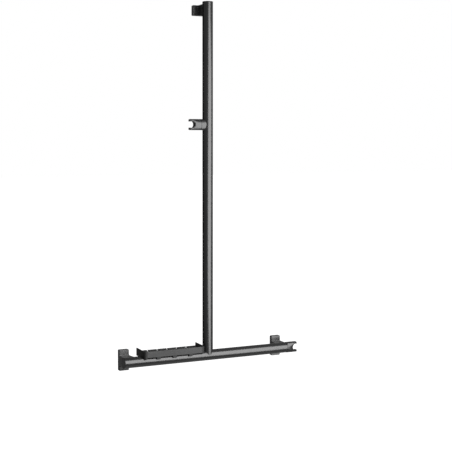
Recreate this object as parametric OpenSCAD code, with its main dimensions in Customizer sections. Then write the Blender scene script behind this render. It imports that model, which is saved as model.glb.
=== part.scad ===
// T-shaped shower grab bar: a horizontal and a vertical rail on three wall brackets, a hand-shower
// holder that slides on the vertical rail, a second one in the end of the horizontal rail, and a
// shelf that is clipped over the horizontal rail.
// The wall is the plane y = 0 and everything stands in front of it, at negative y. The origin is on
// the wall, behind the crossing of the two rail axes. x runs to the right and z runs up.

/* [Rails] */
// Outside diameter of both rails
rail_d = 32; // [30:1:38]
// Wall thickness of both rails
rail_wall = 2.5; // [2:0.5:3.5]
// Distance from the wall to the rail axes
standoff = 50; // [46:1:70]
// Height of the vertical rail's top above the horizontal rail's axis
rise = 1075; // [900:5:1300]
// Thickness of the cap on the vertical rail
top_cap_t = 3; // [2:0.5:6]
// Thickness of the flanges that close the horizontal rail
end_flange_t = 1.5; // [1:0.5:4]
// Length of the plugs inside the rails
plug_len = 30; // [26:1:45]
// Height of the saddle that joins the vertical rail to the horizontal one
tee_h = 22.5; // [20:0.5:32]
// Length of the saddle's spigot inside the vertical rail
spigot_len = 32; // [26:1:45]

/* [Track] */
// Width of the track's mouth in the side of the vertical rail
mouth_w = 8; // [6:0.5:9]
// Width of the channel behind the mouth
channel_w = 13; // [12:0.5:14]
// Depth of the channel
channel_depth = 5; // [4:0.25:5.5]
// Distance from the rail's outside to the channel
channel_lip = 3.2; // [2.6:0.1:3.6]
// Thickness of the channel's own walls
channel_wall = 1.5; // [1:0.1:2]

/* [Brackets] */
// Distance between the two lower brackets
bracket_span = 515; // [460:5:700]
// Distance from the top of the vertical rail to the top bracket's centre
top_drop = 23; // [19:1:60]
// Width of a bracket's foot, along the rail
foot_w = 31.5; // [28:0.5:40]
// Length of a bracket's foot, across the rail
foot_l = 63; // [58:1:80]
// Thickness of a bracket's foot
foot_t = 12; // [10:0.5:16]
// Corner radius of the foot, seen from the front
foot_corner = 3; // [1:0.5:5]
// Rounding of the foot's front edges
foot_edge = 1.5; // [0.5:0.25:2.5]
// Wall of the foot along its sides
foot_side_wall = 2.5; // [2:0.25:3.5]
// Wall of the foot at its ends, where the clamp screw is threaded
foot_end_wall = 4; // [3.5:0.25:6]
// Depth of the pocket in the foot
pocket_depth = 8; // [7:0.25:9]
// How much narrower the neck is than the rail, on each side
neck_inset = 1; // [0.5:0.25:3]
// Radius of the neck's flared inner side
flare_r = 101; // [80:1:200]
// Thickness of a wall plate
wall_plate_t = 6; // [4.5:0.25:6.5]
// Distance between a wall plate's two screw holes
wall_screw_pitch = 44; // [36:1:46]
// Diameter of a wall plate's screw holes
wall_hole_d = 5.5; // [4.5:0.25:6]

/* [Holders] */
// Height of the sliding holder's axis above the horizontal rail's axis
holder_z = 704.5; // [120:0.5:820]
// Height of a holder's section
holder_h = 33.4; // [31:0.1:35]
// Depth of a holder's section
holder_t = 26; // [22:0.5:28]
// Radius of the section's front and back
holder_arc = 26; // [20:1:40]
// Distance from the rail's side to the end of the fixed base
base_len = 8.7; // [8:0.1:16]
// Length of a socket, from its joint to its tips
socket_len = 35.6; // [34:0.1:42]
// Depth of a socket at its tips
tip_t = 14; // [12:0.5:18]
// Narrow radius of the hole for the hand shower
cone_r_front = 10.2; // [9:0.1:10.6]
// Wide radius of the hole for the hand shower
cone_r_back = 11.2; // [10.6:0.1:12]
// Distance from the hole's centre to the tips
hole_to_tip = 6; // [5:0.25:8]
// Width of the mouth between the lips
lip_gap = 15.8; // [13:0.1:16.4]
// Rounding of the lips
lip_r = 2; // [1:0.25:3]
// Rounding of the socket's outer corners
tip_corner = 2.5; // [1:0.25:4]
// Radius of the spigot that the socket turns on
pivot_r = 8; // [7:0.25:8.4]
// Length of that spigot
pivot_len = 4; // [3:0.25:6]
// Thickness of the glide pad against the rail
pad_t = 1.3; // [1:0.1:2]

/* [Shelf] */
// Length of the shelf
shelf_len = 197.5; // [150:0.5:215]
// Distance from the vertical rail's side to the shelf
shelf_gap = 1.5; // [1:0.25:10]
// How far the shelf's front stands in front of the rail
shelf_front = 4.5; // [4:0.25:12]
// Distance from the wall to the shelf's back
shelf_back_gap = 2; // [1:0.25:6]
// Height of the shelf's front above the rail's top
shelf_rise = 15.5; // [12:0.25:30]
// How far the shelf's front reaches below the rail's top
shelf_skirt = 3.5; // [2:0.25:6]
// How far the left side's foot reaches below the rail's top
side_foot = 7.5; // [5:0.25:9]
// Thickness of the shelf's walls
shelf_wall = 3; // [2:0.25:4]
// Thickness of the shelf's floor
floor_t = 2.2; // [2:0.1:4]
// Height of the lip along the floor's back
back_lip = 2; // [1:0.25:8]
// Outer radius of the shelf's front corners
shelf_corner = 8; // [6:0.5:12]
// Width of the front return on each side piece
side_return = 10; // [10:0.5:18]
// Number of drain slots in the floor
drain_slots = 5; // [0:1:6]
// Width of a drain slot
drain_w = 4; // [2:0.5:6]
// Number of hooks under the shelf
hook_count = 3; // [3]
// Distance between the hooks
hook_pitch = 52; // [40:0.5:54]
// Width of a hook
hook_w = 12; // [10:0.5:16]
// Thickness of a hook over the rail's top
hook_t = 2.2; // [2:0.1:4]
// How far a hook's front lip reaches below the rail's top
hook_drop = 10.5; // [8:0.25:14]

/* [Hidden] */
$fn = 96;

// Colours
black_metal = [0.13, 0.13, 0.14];
black_plastic = [0.10, 0.10, 0.11];
steel = [0.72, 0.73, 0.75];
pale_plastic = [0.85, 0.85, 0.82];
zinc = [0.62, 0.63, 0.65];

// Clearances
seat_gap = 0.02;
plug_gap = 0.1;
screw_gap = 0.05;
head_gap = 0.4;
turn_gap = 0.06;
slide_gap = 0.3;
pad_gap = 0.1;
seam_gap = 0.4;
cut = 1;

// Rails
rail_r = rail_d / 2;
bore_r = rail_r - rail_wall;
half_len = bracket_span / 2 + foot_w / 2;
tube_half = half_len - end_flange_t;
tube_top = rise - top_cap_t;
top_z = rise - top_drop;
top_cap_edge = 1.2;

// Track in the vertical rail
channel_out = rail_r - channel_lip;
channel_in = channel_out - channel_depth;
web_face = channel_in - channel_wall;

// Screws
m6_r = 3;
m6_head_r = 5;
m6_head_h = 6;
m6_key_r = 2.8;
key_depth = 3;
clamp_r = 2.5;
neck_screw_len = 20;
neck_seat = 8;
neck_hole = neck_screw_len - neck_seat + 2;
tee_seat = 10;
tee_nut_t = 9;
tee_screw_len = tee_h + tee_seat - bore_r + tee_nut_t - 1;
saddle_edge = 3;
tee_nut_w = 16;
tee_nut_l = 24;
grub_len = 8;
grub_up = 22;

// Brackets
neck_t = rail_d - 2 * neck_inset;
pocket_w = foot_w - 2 * foot_side_wall;
pocket_l = foot_l - 2 * foot_end_wall;
pocket_gap = 0.3;
sink_r = 4.6;
sink_h = 2.5;

// Holders
base_x = rail_r + base_len;
joint_x = base_x + seam_gap;
hole_s = socket_len - hole_to_tip;
recess = pivot_len + 0.3;
spring_s = 12;
spring_h = 1.6;
spring_r = 5.1;
spring_t = 0.5;
axle_head_r = 4.9;
axle_head_h = 3;
counter_r = 5.4;
ring_in = pivot_r + 0.5;
ring_out = 11.5;
ring_t = 1;
ring_sink = ring_t - seam_gap;
nut_back = channel_in + 0.3;
nut_front = channel_out - 0.3;
nut_half_w = channel_w / 2 - 0.3;
nut_half_l = 14;
key_half_w = mouth_w / 2 - 0.3;
key_half_l = 8;
key_out = rail_r + 0.9;
pad_half_w = 9.5;
pad_half_l = 13;
pad_window = 0.5;
plug_thread = 12;

// Shelf
shelf_x1 = -(rail_r + shelf_gap);
shelf_x0 = shelf_x1 - shelf_len;
shelf_y0 = -(standoff + rail_r + shelf_front);
shelf_y1 = -shelf_back_gap;
floor_z = rail_r + hook_t;
shelf_top = rail_r + shelf_rise;
skirt_z = rail_r - shelf_skirt;
hook_mid_x = (shelf_x0 + shelf_x1) / 2;
hook_low_z = rail_r - hook_drop;
hook_block = 7.5;
hook_back = 11;
lip_edge = 2;
hook_screw_y = shelf_y0 + shelf_wall + 4;
shelf_screw_r = 2;
shelf_screw_head = 3.6;
shelf_screw_len = 6;
ledge_w = 9;
ledge_t = 5.2;
ledge_y0 = -(standoff - rail_r - 4);
ledge_y1 = shelf_y1 - shelf_wall;
drain_l = 34;
drain_y = (shelf_y0 + shelf_y1) / 2 + 4;

// A rectangle about the origin with round corners
module rounded(w, h, r) {
    square([w - 2 * r, h], center = true);
    square([w, h - 2 * r], center = true);
    for (sx = [-1, 1], sy = [-1, 1])
        translate([sx * (w / 2 - r), sy * (h / 2 - r)]) circle(r = r);
}

// A strip of width w from y = 0 down to y = -t, with its two far corners round
module fronted(w, t, r) {
    translate([-w / 2, -(t - r)]) square([w, t - r]);
    translate([-w / 2 + r, -t]) square([w - 2 * r, t]);
    for (s = [-1, 1]) translate([s * (w / 2 - r), -(t - r)]) circle(r = r);
}

// A cylinder along x, starting at the origin
module along_x(r, h) {
    rotate([0, 90, 0]) cylinder(r = r, h = h);
}

// A cylinder along -y, starting at the origin
module along_back(r, h) {
    rotate([90, 0, 0]) cylinder(r = r, h = h);
}

// The hexagon socket of a screw head, along z
module hex_socket(r, depth) {
    cylinder(r = r, h = depth, $fn = 6);
}

// Puts its children on the left, the right or the top bracket. In a bracket's own frame, x runs
// along the rail towards its middle, and z runs across it
module at_bracket(which) {
    if (which == "left") translate([-bracket_span / 2, 0, 0]) children();
    if (which == "right") translate([bracket_span / 2, 0, 0]) mirror([1, 0, 0]) children();
    if (which == "top")
        translate([0, 0, top_z]) rotate([0, 90, 0]) mirror([0, 0, 1]) children();
}

module horizontal_rail() {
    color(black_metal) difference() {
        translate([-tube_half, -standoff, 0]) along_x(rail_r, 2 * tube_half);
        translate([-tube_half - cut, -standoff, 0]) along_x(bore_r, 2 * (tube_half + cut));
        for (s = [-1, 1])
            translate([s * bracket_span / 2, -standoff + rail_r + cut, 0])
                along_back(m6_r + screw_gap, rail_wall + 2 * cut);
        translate([0, -standoff, bore_r - cut])
            cylinder(r = m6_r + screw_gap, h = rail_wall + 2 * cut);
    }
}

// The drawn section of the vertical rail: a tube with a T-slot track in its left side
module rail_section() {
    difference() {
        union() {
            difference() {
                circle(r = rail_r);
                circle(r = bore_r);
            }
            intersection() {
                circle(r = rail_r - 0.2);
                translate([-rail_r, -channel_w / 2 - channel_wall])
                    square([rail_r - web_face, channel_w + 2 * channel_wall]);
            }
        }
        translate([-channel_out, -channel_w / 2]) square([channel_depth, channel_w]);
        translate([-rail_r - cut, -mouth_w / 2]) square([channel_lip + 2 * cut, mouth_w]);
    }
}

module vertical_rail() {
    color(black_metal) translate([0, -standoff, 0]) difference() {
        translate([0, 0, tee_h]) linear_extrude(tube_top - tee_h) rail_section();
        translate([0, rail_r + cut, top_z]) along_back(m6_r + screw_gap, rail_wall + 2 * cut);
        translate([0, rail_r + cut, tee_h + grub_up])
            along_back(m6_r + screw_gap, rail_wall + 2 * cut);
    }
}

// The plug that closes one end of the horizontal rail, with its flange at x = 0 and its body at
// negative x
module end_plug() {
    difference() {
        union() {
            translate([-end_flange_t, 0, 0]) along_x(rail_r, end_flange_t);
            translate([-plug_len, 0, 0]) along_x(bore_r - plug_gap, plug_len);
        }
        translate([-foot_w / 2, rail_r, 0]) along_back(m6_r + screw_gap, neck_hole);
    }
}

module left_end_plug() {
    color(black_plastic) translate([-half_len, -standoff, 0]) mirror([1, 0, 0]) end_plug();
}

// The right plug also carries the end socket's pivot
module right_end_plug() {
    color(black_plastic) translate([half_len, -standoff, 0]) difference() {
        union() {
            end_plug();
            along_x(pivot_r, pivot_len);
        }
        translate([-plug_thread, 0, 0]) along_x(m6_r + screw_gap, plug_thread + pivot_len + cut);
        translate([-ring_sink, 0, 0]) ring_shape(ring_in - 0.1, ring_out + 0.1, ring_sink + cut / 4);
    }
}

// The half-round plug section that fills the vertical rail beside its track
module plug_section() {
    difference() {
        circle(r = bore_r - plug_gap);
        translate([-2 * rail_r - web_face + plug_gap, -rail_r]) square([2 * rail_r, 2 * rail_r]);
    }
}

module top_cap() {
    color(black_plastic) translate([0, -standoff, 0]) difference() {
        union() {
            translate([0, 0, tube_top]) rotate_extrude() {
                square([rail_r - top_cap_edge, top_cap_t]);
                square([rail_r, top_cap_t - top_cap_edge]);
                translate([rail_r - top_cap_edge, top_cap_t - top_cap_edge])
                    circle(r = top_cap_edge);
            }
            translate([0, 0, tube_top - plug_len]) linear_extrude(plug_len + 0.5) plug_section();
        }
        translate([0, rail_r, top_z]) along_back(m6_r + screw_gap, neck_hole);
    }
}

// The saddle is a stub of the rail's diameter, coped over the horizontal rail
module tee_saddle() {
    color(black_metal) translate([0, -standoff, 0]) difference() {
        union() {
            translate([0, 0, saddle_edge]) cylinder(r = rail_r, h = tee_h - saddle_edge);
            translate([0, 0, saddle_edge])
                linear_extrude(tee_h + spigot_len - saddle_edge) plug_section();
        }
        translate([-rail_r - cut, 0, 0]) along_x(rail_r + seat_gap, 2 * (rail_r + cut));
        cylinder(r = m6_r + screw_gap, h = tee_h + spigot_len + cut);
        translate([0, 0, tee_h + tee_seat])
            cylinder(r = m6_head_r + screw_gap, h = spigot_len);
        translate([0, rail_r, tee_h + grub_up]) along_back(m6_r + screw_gap, grub_len);
    }
}

module tee_screw() {
    color(steel) translate([0, -standoff, tee_h + tee_seat]) difference() {
        union() {
            cylinder(r = m6_head_r, h = m6_head_h);
            translate([0, 0, -tee_screw_len]) cylinder(r = m6_r, h = tee_screw_len + 0.5);
        }
        translate([0, 0, m6_head_h - key_depth]) hex_socket(m6_key_r, key_depth + cut);
    }
}

// A nut with a round back that lies against the inside of the horizontal rail
module tee_nut() {
    color(steel) translate([0, -standoff, 0]) difference() {
        intersection() {
            translate([-tee_nut_l / 2, 0, 0]) along_x(bore_r - seat_gap, tee_nut_l);
            translate([-tee_nut_l / 2, -tee_nut_w / 2, bore_r - tee_nut_t])
                cube([tee_nut_l, tee_nut_w, tee_nut_t]);
        }
        translate([0, 0, bore_r - tee_nut_t - cut])
            cylinder(r = m6_r + screw_gap, h = tee_nut_t + 2 * cut);
    }
}

module tee_grub_screw() {
    color(steel) translate([0, -standoff + rail_r - 0.3, tee_h + grub_up]) difference() {
        along_back(m6_r, grub_len - 0.6);
        translate([0, cut, 0]) rotate([90, 0, 0]) hex_socket(1.7, 4);
    }
}

// A bracket's foot: a block with round corners, seen from every side
module foot_block() {
    intersection() {
        rotate([90, 0, 0]) linear_extrude(foot_t) rounded(foot_w, foot_l, foot_corner);
        linear_extrude(foot_l, center = true) fronted(foot_w, foot_t, foot_edge);
        rotate([0, -90, 0]) linear_extrude(foot_w, center = true)
            fronted(foot_l, foot_t, foot_edge);
    }
}

// The neck seen from above: straight on its outer side and flared towards the rail on its inner one
module neck_plan() {
    difference() {
        translate([-foot_w / 2, -standoff])
            square([foot_w + standoff / 3, standoff - foot_t]);
        translate([foot_w / 2 + flare_r, -foot_t]) circle(r = flare_r, $fn = 360);
    }
    translate([-foot_w / 2, -foot_t - 0.01]) square([foot_w, foot_edge + cut]);
}

module bracket() {
    difference() {
        union() {
            foot_block();
            linear_extrude(neck_t, center = true) neck_plan();
        }
        translate([-pocket_w / 2, -pocket_depth, -pocket_l / 2])
            cube([pocket_w, pocket_depth + cut, pocket_l]);
        translate([-standoff, -standoff, 0]) along_x(rail_r + seat_gap, 2 * standoff);
        along_back(m6_r + 0.2, standoff);
        along_back(m6_head_r + head_gap, standoff - rail_r - neck_seat);
        translate([0, -wall_plate_t / 2, -foot_l / 2 - cut])
            cylinder(r = clamp_r + screw_gap, h = foot_end_wall + 2 * cut);
    }
}

module bracket_left() {
    color(black_metal) at_bracket("left") bracket();
}

module bracket_right() {
    color(black_metal) at_bracket("right") bracket();
}

module bracket_top() {
    color(black_metal) at_bracket("top") bracket();
}

// The plate that is screwed to the wall, inside a bracket's foot
module wall_plate() {
    difference() {
        rotate([90, 0, 0]) linear_extrude(wall_plate_t)
            rounded(pocket_w - 2 * pocket_gap, pocket_l - 2 * pocket_gap, 2);
        for (s = [-1, 1]) translate([0, 0, s * wall_screw_pitch / 2]) {
            translate([0, cut, 0]) along_back(wall_hole_d / 2, wall_plate_t + 2 * cut);
            translate([0, -wall_plate_t + sink_h, 0]) rotate([90, 0, 0])
                cylinder(r1 = wall_hole_d / 2, r2 = sink_r, h = sink_h);
        }
    }
}

module wall_plate_left() {
    color(zinc) at_bracket("left") wall_plate();
}

module wall_plate_right() {
    color(zinc) at_bracket("right") wall_plate();
}

module wall_plate_top() {
    color(zinc) at_bracket("top") wall_plate();
}

// The screw that pulls the rail against a bracket's neck
module neck_screw() {
    translate([0, -(standoff - rail_r - neck_seat), 0]) difference() {
        union() {
            along_back(m6_r, neck_screw_len);
            translate([0, m6_head_h, 0]) along_back(m6_head_r, m6_head_h);
        }
        translate([0, m6_head_h + cut, 0]) rotate([90, 0, 0]) hex_socket(m6_key_r, key_depth + cut);
    }
}

module neck_screws() {
    color(steel) for (which = ["left", "right", "top"]) at_bracket(which) neck_screw();
}

// The screw that clamps a foot on its wall plate
module foot_screw() {
    translate([0, -wall_plate_t / 2, -foot_l / 2 + 0.3]) difference() {
        cylinder(r = clamp_r, h = foot_end_wall + pocket_gap - 0.3);
        translate([0, 0, -cut]) hex_socket(1.4, 3);
    }
}

module foot_screws() {
    color(steel) for (which = ["left", "right", "top"]) at_bracket(which) foot_screw();
}

// The holders' section, flatter in front and behind than above and below
module oval() {
    intersection() {
        circle(d = holder_h);
        translate([holder_arc - holder_t / 2, 0]) circle(r = holder_arc);
        translate([-(holder_arc - holder_t / 2), 0]) circle(r = holder_arc);
    }
}

module oval_bar(h) {
    rotate([90, 0, 90]) linear_extrude(h) oval();
}

// A flat ring along x
module ring_shape(r_in, r_out, h) {
    difference() {
        along_x(r_out, h);
        translate([-cut, 0, 0]) along_x(r_in, h + 2 * cut);
    }
}

// A socket seen from above: it narrows towards its tips along two wide arcs
module socket_plan() {
    drop = (holder_t - tip_t) / 2;
    arc_r = (pow(socket_len, 2) + pow(drop, 2)) / (2 * drop);
    intersection() {
        translate([0, -holder_t / 2]) square([socket_len, holder_t]);
        translate([0, arc_r - holder_t / 2]) circle(r = arc_r, $fn = 360);
        translate([0, holder_t / 2 - arc_r]) circle(r = arc_r, $fn = 360);
    }
}

// A socket seen from the front, with its outer corners round
module socket_front() {
    translate([0, -holder_h / 2]) square([socket_len - tip_corner, holder_h]);
    translate([0, -holder_h / 2 + tip_corner]) square([socket_len, holder_h - 2 * tip_corner]);
    for (s = [-1, 1])
        translate([socket_len - tip_corner, s * (holder_h / 2 - tip_corner)])
            circle(r = tip_corner);
}

// The mouth between the lips, seen from the front
module lip_mouth() {
    translate([hole_s, -lip_gap / 2]) square([hole_to_tip + cut, lip_gap]);
    for (s = [0, 1]) mirror([0, s]) difference() {
        translate([socket_len - lip_r, lip_gap / 2 - 0.1]) square([lip_r + cut, lip_r + 0.1]);
        translate([socket_len - lip_r, lip_gap / 2 + lip_r]) circle(r = lip_r);
        translate([socket_len - lip_r, lip_gap / 2 + lip_r]) square([lip_r + 2 * cut, cut]);
    }
}

// The socket for a hand shower. It turns on its pivot about x, with its joint face at x = 0
module socket() {
    difference() {
        intersection() {
            oval_bar(socket_len);
            linear_extrude(holder_h + cut, center = true) socket_plan();
            rotate([90, 0, 0]) linear_extrude(holder_t + cut, center = true) socket_front();
        }
        translate([hole_s, holder_t / 2 + cut, 0]) rotate([90, 0, 0])
            cylinder(r1 = cone_r_back, r2 = cone_r_front, h = holder_t + 2 * cut);
        rotate([90, 0, 0]) linear_extrude(holder_t + 2 * cut, center = true) lip_mouth();
        translate([-cut, 0, 0]) along_x(pivot_r + turn_gap, recess + cut);
        along_x(m6_r + turn_gap, hole_s);
        translate([spring_s, 0, 0]) along_x(counter_r, hole_s - spring_s);
    }
}

// The screw that a socket turns on. Its head lies in the socket, and its shank runs back to x = -depth
module axle_screw(depth) {
    difference() {
        union() {
            translate([-depth, 0, 0]) along_x(m6_r, depth + spring_s + spring_h + 0.5);
            translate([spring_s + spring_h, 0, 0]) along_x(axle_head_r, axle_head_h);
        }
        translate([spring_s + spring_h + axle_head_h - 2, 0, 0]) rotate([0, 90, 0])
            hex_socket(2.3, 3);
    }
}

// Two disc springs, rim to rim, under the axle screw's head
module disc_springs() {
    lo = m6_r + turn_gap;
    dish = spring_h / 2 - spring_t - seat_gap / 2;
    translate([spring_s, 0, 0]) rotate([0, 90, 0]) {
        rotate_extrude() polygon([
            [lo, seat_gap], [spring_r, dish], [spring_r, dish + spring_t], [lo, spring_t]
        ]);
        rotate_extrude() polygon([
            [lo, spring_h], [spring_r, spring_h - dish], [spring_r, spring_h - dish - spring_t],
            [lo, spring_h - spring_t]
        ]);
    }
}

// The friction ring between a socket and what carries it
module friction_ring() {
    translate([-ring_t, 0, 0]) ring_shape(ring_in, ring_out, ring_t);
}

// Puts its children at the sliding holder's joint, with x running out along the pivot
module at_slider_joint() {
    translate([-joint_x, -standoff, holder_z]) mirror([1, 0, 0]) children();
}

// Puts its children at the end holder's joint
module at_end_joint() {
    translate([half_len + seam_gap, -standoff, 0]) children();
}

// The glide pad's space: a curved plate around the rail's left side
module pad_shape(r_in, r_out, w, l) {
    intersection() {
        difference() {
            cylinder(r = r_out, h = 2 * l, center = true);
            cylinder(r = r_in, h = 2 * l + cut, center = true);
        }
        translate([-r_out - cut, -w, -l]) cube([r_out + cut, 2 * w, 2 * l]);
    }
}

// The sliding holder's base, coped to the rail
module slider_base() {
    color(black_metal) translate([0, -standoff, holder_z]) difference() {
        union() {
            translate([-base_x, 0, 0]) oval_bar(base_x);
            translate([-base_x - pivot_len, 0, 0]) along_x(pivot_r, pivot_len + cut);
        }
        cylinder(r = rail_r + slide_gap, h = 2 * holder_h, center = true);
        pad_shape(rail_r, rail_r + pad_gap + pad_t + seat_gap, pad_half_w + 0.1, pad_half_l + 0.1);
        translate([-base_x - pivot_len - cut, 0, 0])
            along_x(m6_r + screw_gap, base_len + pivot_len + 2 * cut + rail_r);
        translate([-base_x - cut / 4, 0, 0])
            ring_shape(ring_in - 0.1, ring_out + 0.1, ring_sink + cut / 4);
    }
}

module slider_glide_pad() {
    color(pale_plastic) translate([0, -standoff, holder_z]) difference() {
        pad_shape(rail_r + pad_gap, rail_r + pad_gap + pad_t, pad_half_w, pad_half_l);
        translate([-2 * rail_r, -key_half_w - pad_window, -key_half_l - pad_window])
            cube([2 * rail_r, 2 * (key_half_w + pad_window), 2 * (key_half_l + pad_window)]);
    }
}

// The nut that runs in the track, with a key that fills the mouth
module slider_t_nut() {
    color(zinc) translate([0, -standoff, holder_z]) difference() {
        union() {
            translate([-nut_front, -nut_half_w, -nut_half_l])
                cube([nut_front - nut_back, 2 * nut_half_w, 2 * nut_half_l]);
            translate([-key_out, -key_half_w, -key_half_l])
                cube([key_out - nut_back, 2 * key_half_w, 2 * key_half_l]);
        }
        translate([-2 * rail_r, 0, 0]) along_x(m6_r + screw_gap, 2 * rail_r);
    }
}

module slider_axle_screw() {
    color(steel) at_slider_joint() axle_screw(joint_x - nut_back - 0.5);
}

module slider_disc_springs() {
    color(steel) at_slider_joint() disc_springs();
}

module slider_friction_ring() {
    color(pale_plastic) at_slider_joint() friction_ring();
}

module slider_socket() {
    color(black_plastic) at_slider_joint() socket();
}

module end_axle_screw() {
    color(steel) at_end_joint() axle_screw(plug_thread + seam_gap - 0.5);
}

module end_disc_springs() {
    color(steel) at_end_joint() disc_springs();
}

module end_friction_ring() {
    color(pale_plastic) at_end_joint() friction_ring();
}

module end_socket() {
    color(black_plastic) at_end_joint() socket();
}

// A slot with round ends, along y
module slot(w, l) {
    square([w, l - w], center = true);
    for (s = [-1, 1]) translate([0, s * (l - w) / 2]) circle(d = w);
}

// Where the shelf's screws stand: one over each hook and one over each side piece's ledge
function hook_x(i) = hook_mid_x + (i - (hook_count - 1) / 2) * hook_pitch;
ledge_y = (ledge_y0 + ledge_y1) / 2;
screw_places = concat(
    [for (i = [0 : hook_count - 1]) [hook_x(i), hook_screw_y]],
    [[shelf_x0 + shelf_wall + ledge_w / 2, ledge_y], [shelf_x1 - shelf_wall - ledge_w / 2, ledge_y]]
);

// A countersunk screw whose head is flush with the shelf's floor
module shelf_screw() {
    difference() {
        union() {
            translate([0, 0, -shelf_screw_len]) cylinder(r = shelf_screw_r, h = shelf_screw_len - 1);
            translate([0, 0, -1.7]) cylinder(r1 = shelf_screw_r, r2 = shelf_screw_head, h = 1.7);
        }
        translate([0, 0, -1.2]) hex_socket(1.3, 2);
    }
}

module shelf_screws() {
    color(steel) for (p = screw_places)
        translate([p[0], p[1], floor_z + floor_t]) shelf_screw();
}

// The holes that a set of shelf screws needs
module shelf_screw_holes() {
    for (p = screw_places) translate([p[0], p[1], floor_z + floor_t]) {
        translate([0, 0, -shelf_screw_len - 0.2])
            cylinder(r = shelf_screw_r + screw_gap, h = shelf_screw_len + cut);
        translate([0, 0, -1.7])
            cylinder(r1 = shelf_screw_r + screw_gap, r2 = shelf_screw_head + screw_gap, h = 1.7);
        cylinder(r = shelf_screw_head + screw_gap, h = cut);
    }
}

// The shelf's folded section, seen from its left end, with y to the right
module tray_section() {
    translate([shelf_y0, skirt_z]) square([shelf_wall, shelf_top - skirt_z - shelf_wall / 2]);
    translate([shelf_y0 + shelf_wall / 2, shelf_top - shelf_wall / 2]) circle(d = shelf_wall);
    translate([shelf_y0 + shelf_wall / 2, floor_z])
        square([shelf_y1 - shelf_y0 - shelf_wall / 2, floor_t]);
    translate([shelf_y1 - floor_t, floor_z]) square([floor_t, floor_t + back_lip]);
}

module shelf_tray() {
    front_x0 = shelf_x0 + side_return + 0.3;
    front_x1 = shelf_x1 - side_return - 0.3;
    inner_x0 = shelf_x0 + shelf_wall + 0.1;
    inner_x1 = shelf_x1 - shelf_wall - 0.1;
    drain_pitch = (inner_x1 - inner_x0) / (drain_slots + 1);
    color(black_plastic) difference() {
        union() {
            translate([front_x0, 0, 0]) rotate([90, 0, 90])
                linear_extrude(front_x1 - front_x0) tray_section();
            translate([0, 0, floor_z]) linear_extrude(floor_t) floor_plan(inner_x0, inner_x1);
            translate([inner_x0, shelf_y1 - floor_t, floor_z])
                cube([inner_x1 - inner_x0, floor_t, floor_t + back_lip]);
        }
        if (drain_slots > 0) for (i = [1 : drain_slots], s = [-1, 1])
            translate([inner_x0 + i * drain_pitch, drain_y + s * (drain_l / 2 + 3), floor_z - cut])
                linear_extrude(floor_t + 2 * cut) slot(drain_w, drain_l - 8);
        shelf_screw_holes();
    }
}

// The floor between the side pieces, with its front corners round to follow them
module floor_plan(x0, x1) {
    r = shelf_corner - shelf_wall;
    y0 = shelf_y0 + shelf_wall + 0.1;
    translate([x0 + r, y0]) square([x1 - x0 - 2 * r, shelf_y1 - y0]);
    translate([x0, y0 + r]) square([x1 - x0, shelf_y1 - y0 - r]);
    for (x = [x0 + r, x1 - r]) translate([x, y0 + r]) circle(r = r);
}

// A side piece seen from above, with its outside at x = 0 and its body at positive x
module side_plan() {
    difference() {
        union() {
            translate([0, shelf_y0 + shelf_corner])
                square([shelf_wall, shelf_y1 - shelf_y0 - shelf_corner]);
            translate([shelf_corner, shelf_y0]) square([side_return - shelf_corner, shelf_wall]);
            intersection() {
                translate([shelf_corner, shelf_y0 + shelf_corner]) circle(r = shelf_corner);
                translate([0, shelf_y0]) square([shelf_corner, shelf_corner]);
            }
        }
        translate([shelf_corner, shelf_y0 + shelf_corner]) circle(r = shelf_corner - shelf_wall);
    }
}

// A side piece with a notch for the rail and a ledge under the floor
module shelf_side(foot) {
    difference() {
        union() {
            translate([0, 0, rail_r - foot])
                linear_extrude(shelf_top + 0.5 - rail_r + foot) side_plan();
            translate([0, ledge_y0, floor_z - ledge_t])
                cube([shelf_wall + ledge_w, ledge_y1 - ledge_y0, ledge_t]);
        }
        translate([-cut, -standoff, 0]) along_x(rail_r + seat_gap, side_return + 2 * cut);
        translate([-cut, -standoff - rail_r - seat_gap, -rail_r])
            cube([shelf_wall + cut + 0.1, 2 * (rail_r + seat_gap), rail_r]);
    }
}

module shelf_side_left() {
    color(black_plastic) difference() {
        translate([shelf_x0, 0, 0]) shelf_side(side_foot);
        shelf_screw_holes();
    }
}

module shelf_side_right() {
    color(black_plastic) difference() {
        translate([shelf_x1, 0, 0]) mirror([1, 0, 0]) shelf_side(shelf_skirt);
        shelf_screw_holes();
    }
}

// A hook seen from its left end, with y to the right: a strip over the rail's top, and in front of
// the rail a block that carries the shelf and ends in a lip
module hook_section() {
    block_y0 = shelf_y0 + shelf_wall + 0.3;
    lip_y0 = shelf_y0 + 1;
    lip_top = skirt_z - 0.3;
    difference() {
        union() {
            translate([-standoff, 0]) intersection() {
                circle(r = rail_r + hook_t);
                translate([-rail_r, rail_r / 2]) square([rail_r + hook_back, rail_r]);
            }
            translate([block_y0, hook_low_z]) square([hook_block, floor_z - hook_low_z]);
            translate([lip_y0, hook_low_z + lip_edge]) square([hook_block, lip_top - hook_low_z - lip_edge]);
            translate([lip_y0 + lip_edge, hook_low_z]) square([hook_block, lip_top - hook_low_z]);
            translate([lip_y0 + lip_edge, hook_low_z + lip_edge]) circle(r = lip_edge);
        }
        translate([-standoff, 0]) circle(r = rail_r + seat_gap);
    }
}

module shelf_hook(i) {
    color(black_plastic) difference() {
        translate([hook_x(i) - hook_w / 2, 0, 0]) rotate([90, 0, 90])
            linear_extrude(hook_w) hook_section();
        shelf_screw_holes();
    }
}

module shelf_hook_left() {
    shelf_hook(0);
}

module shelf_hook_middle() {
    shelf_hook(1);
}

module shelf_hook_right() {
    shelf_hook(2);
}

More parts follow.
